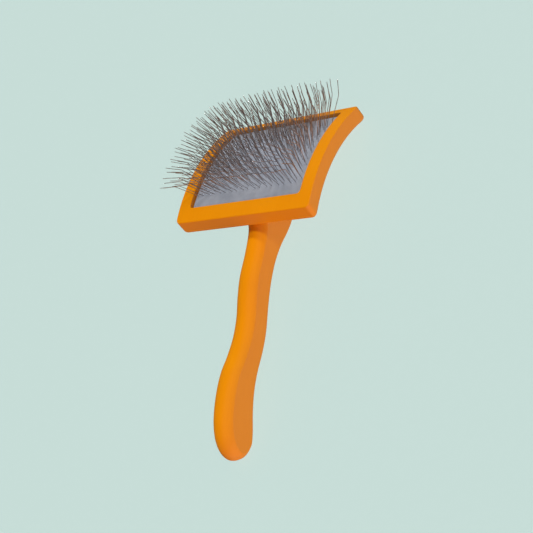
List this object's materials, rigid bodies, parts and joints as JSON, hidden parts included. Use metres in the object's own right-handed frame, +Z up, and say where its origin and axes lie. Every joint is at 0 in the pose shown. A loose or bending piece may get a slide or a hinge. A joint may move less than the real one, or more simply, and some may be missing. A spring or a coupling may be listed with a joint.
{
  "type": "slicker brush",
  "caption": "Pet grooming brush: curved rectangular wooden head with a cushioned pad of fine bent wire pins, on a shaped plank handle.",
  "frame": {"origin": "on the surface the brush lies on, under the middle of its bounding box", "axes": "+Z up, away from the surface, with the pins up; +Y from the handle's end towards the head; X across the head"},
  "size_m": [0.115, 0.2413, 0.0661],
  "materials": {
    "painted_wood": "satin orange-yellow lacquer that hides the grain",
    "screw_steel": "bright zinc plated",
    "foam": "open soft foam rubber",
    "felt": "pressed felt ply",
    "pad_rubber": "matt blue-grey rubber",
    "pin_steel": "drawn wire, dark"
  },
  "bodies": {
    "brush_body": {"head_block": "painted_wood", "handle": "painted_wood", "handle_screw_1": "screw_steel", "handle_screw_2": "screw_steel", "foam_cushion": "foam"},
    "pin_pad": {"pad_backing": "felt", "pad_face": "pad_rubber", "pin_row_01": "pin_steel", "pin_row_02": "pin_steel", "pin_row_03": "pin_steel", "pin_row_04": "pin_steel", "pin_row_05": "pin_steel", "pin_row_06": "pin_steel", "pin_row_07": "pin_steel", "pin_row_08": "pin_steel", "pin_row_09": "pin_steel", "pin_row_10": "pin_steel", "pin_row_11": "pin_steel", "pin_row_12": "pin_steel", "pin_row_13": "pin_steel", "pin_row_14": "pin_steel", "pin_row_15": "pin_steel", "pin_row_16": "pin_steel", "pin_row_17": "pin_steel", "pin_row_18": "pin_steel", "pin_row_19": "pin_steel", "pin_row_20": "pin_steel", "pin_row_21": "pin_steel", "pin_row_22": "pin_steel"}
  },
  "joints": [
    {"name": "pad_press", "type": "slide", "parent": "brush_body", "child": "pin_pad", "axis": [0, 0.3486, 0.9373], "range_m": [-0.001, 0], "stiffness_N_per_m": 3000, "springref_m": 0.0003, "deforming": ["foam_cushion"]}
  ]
}
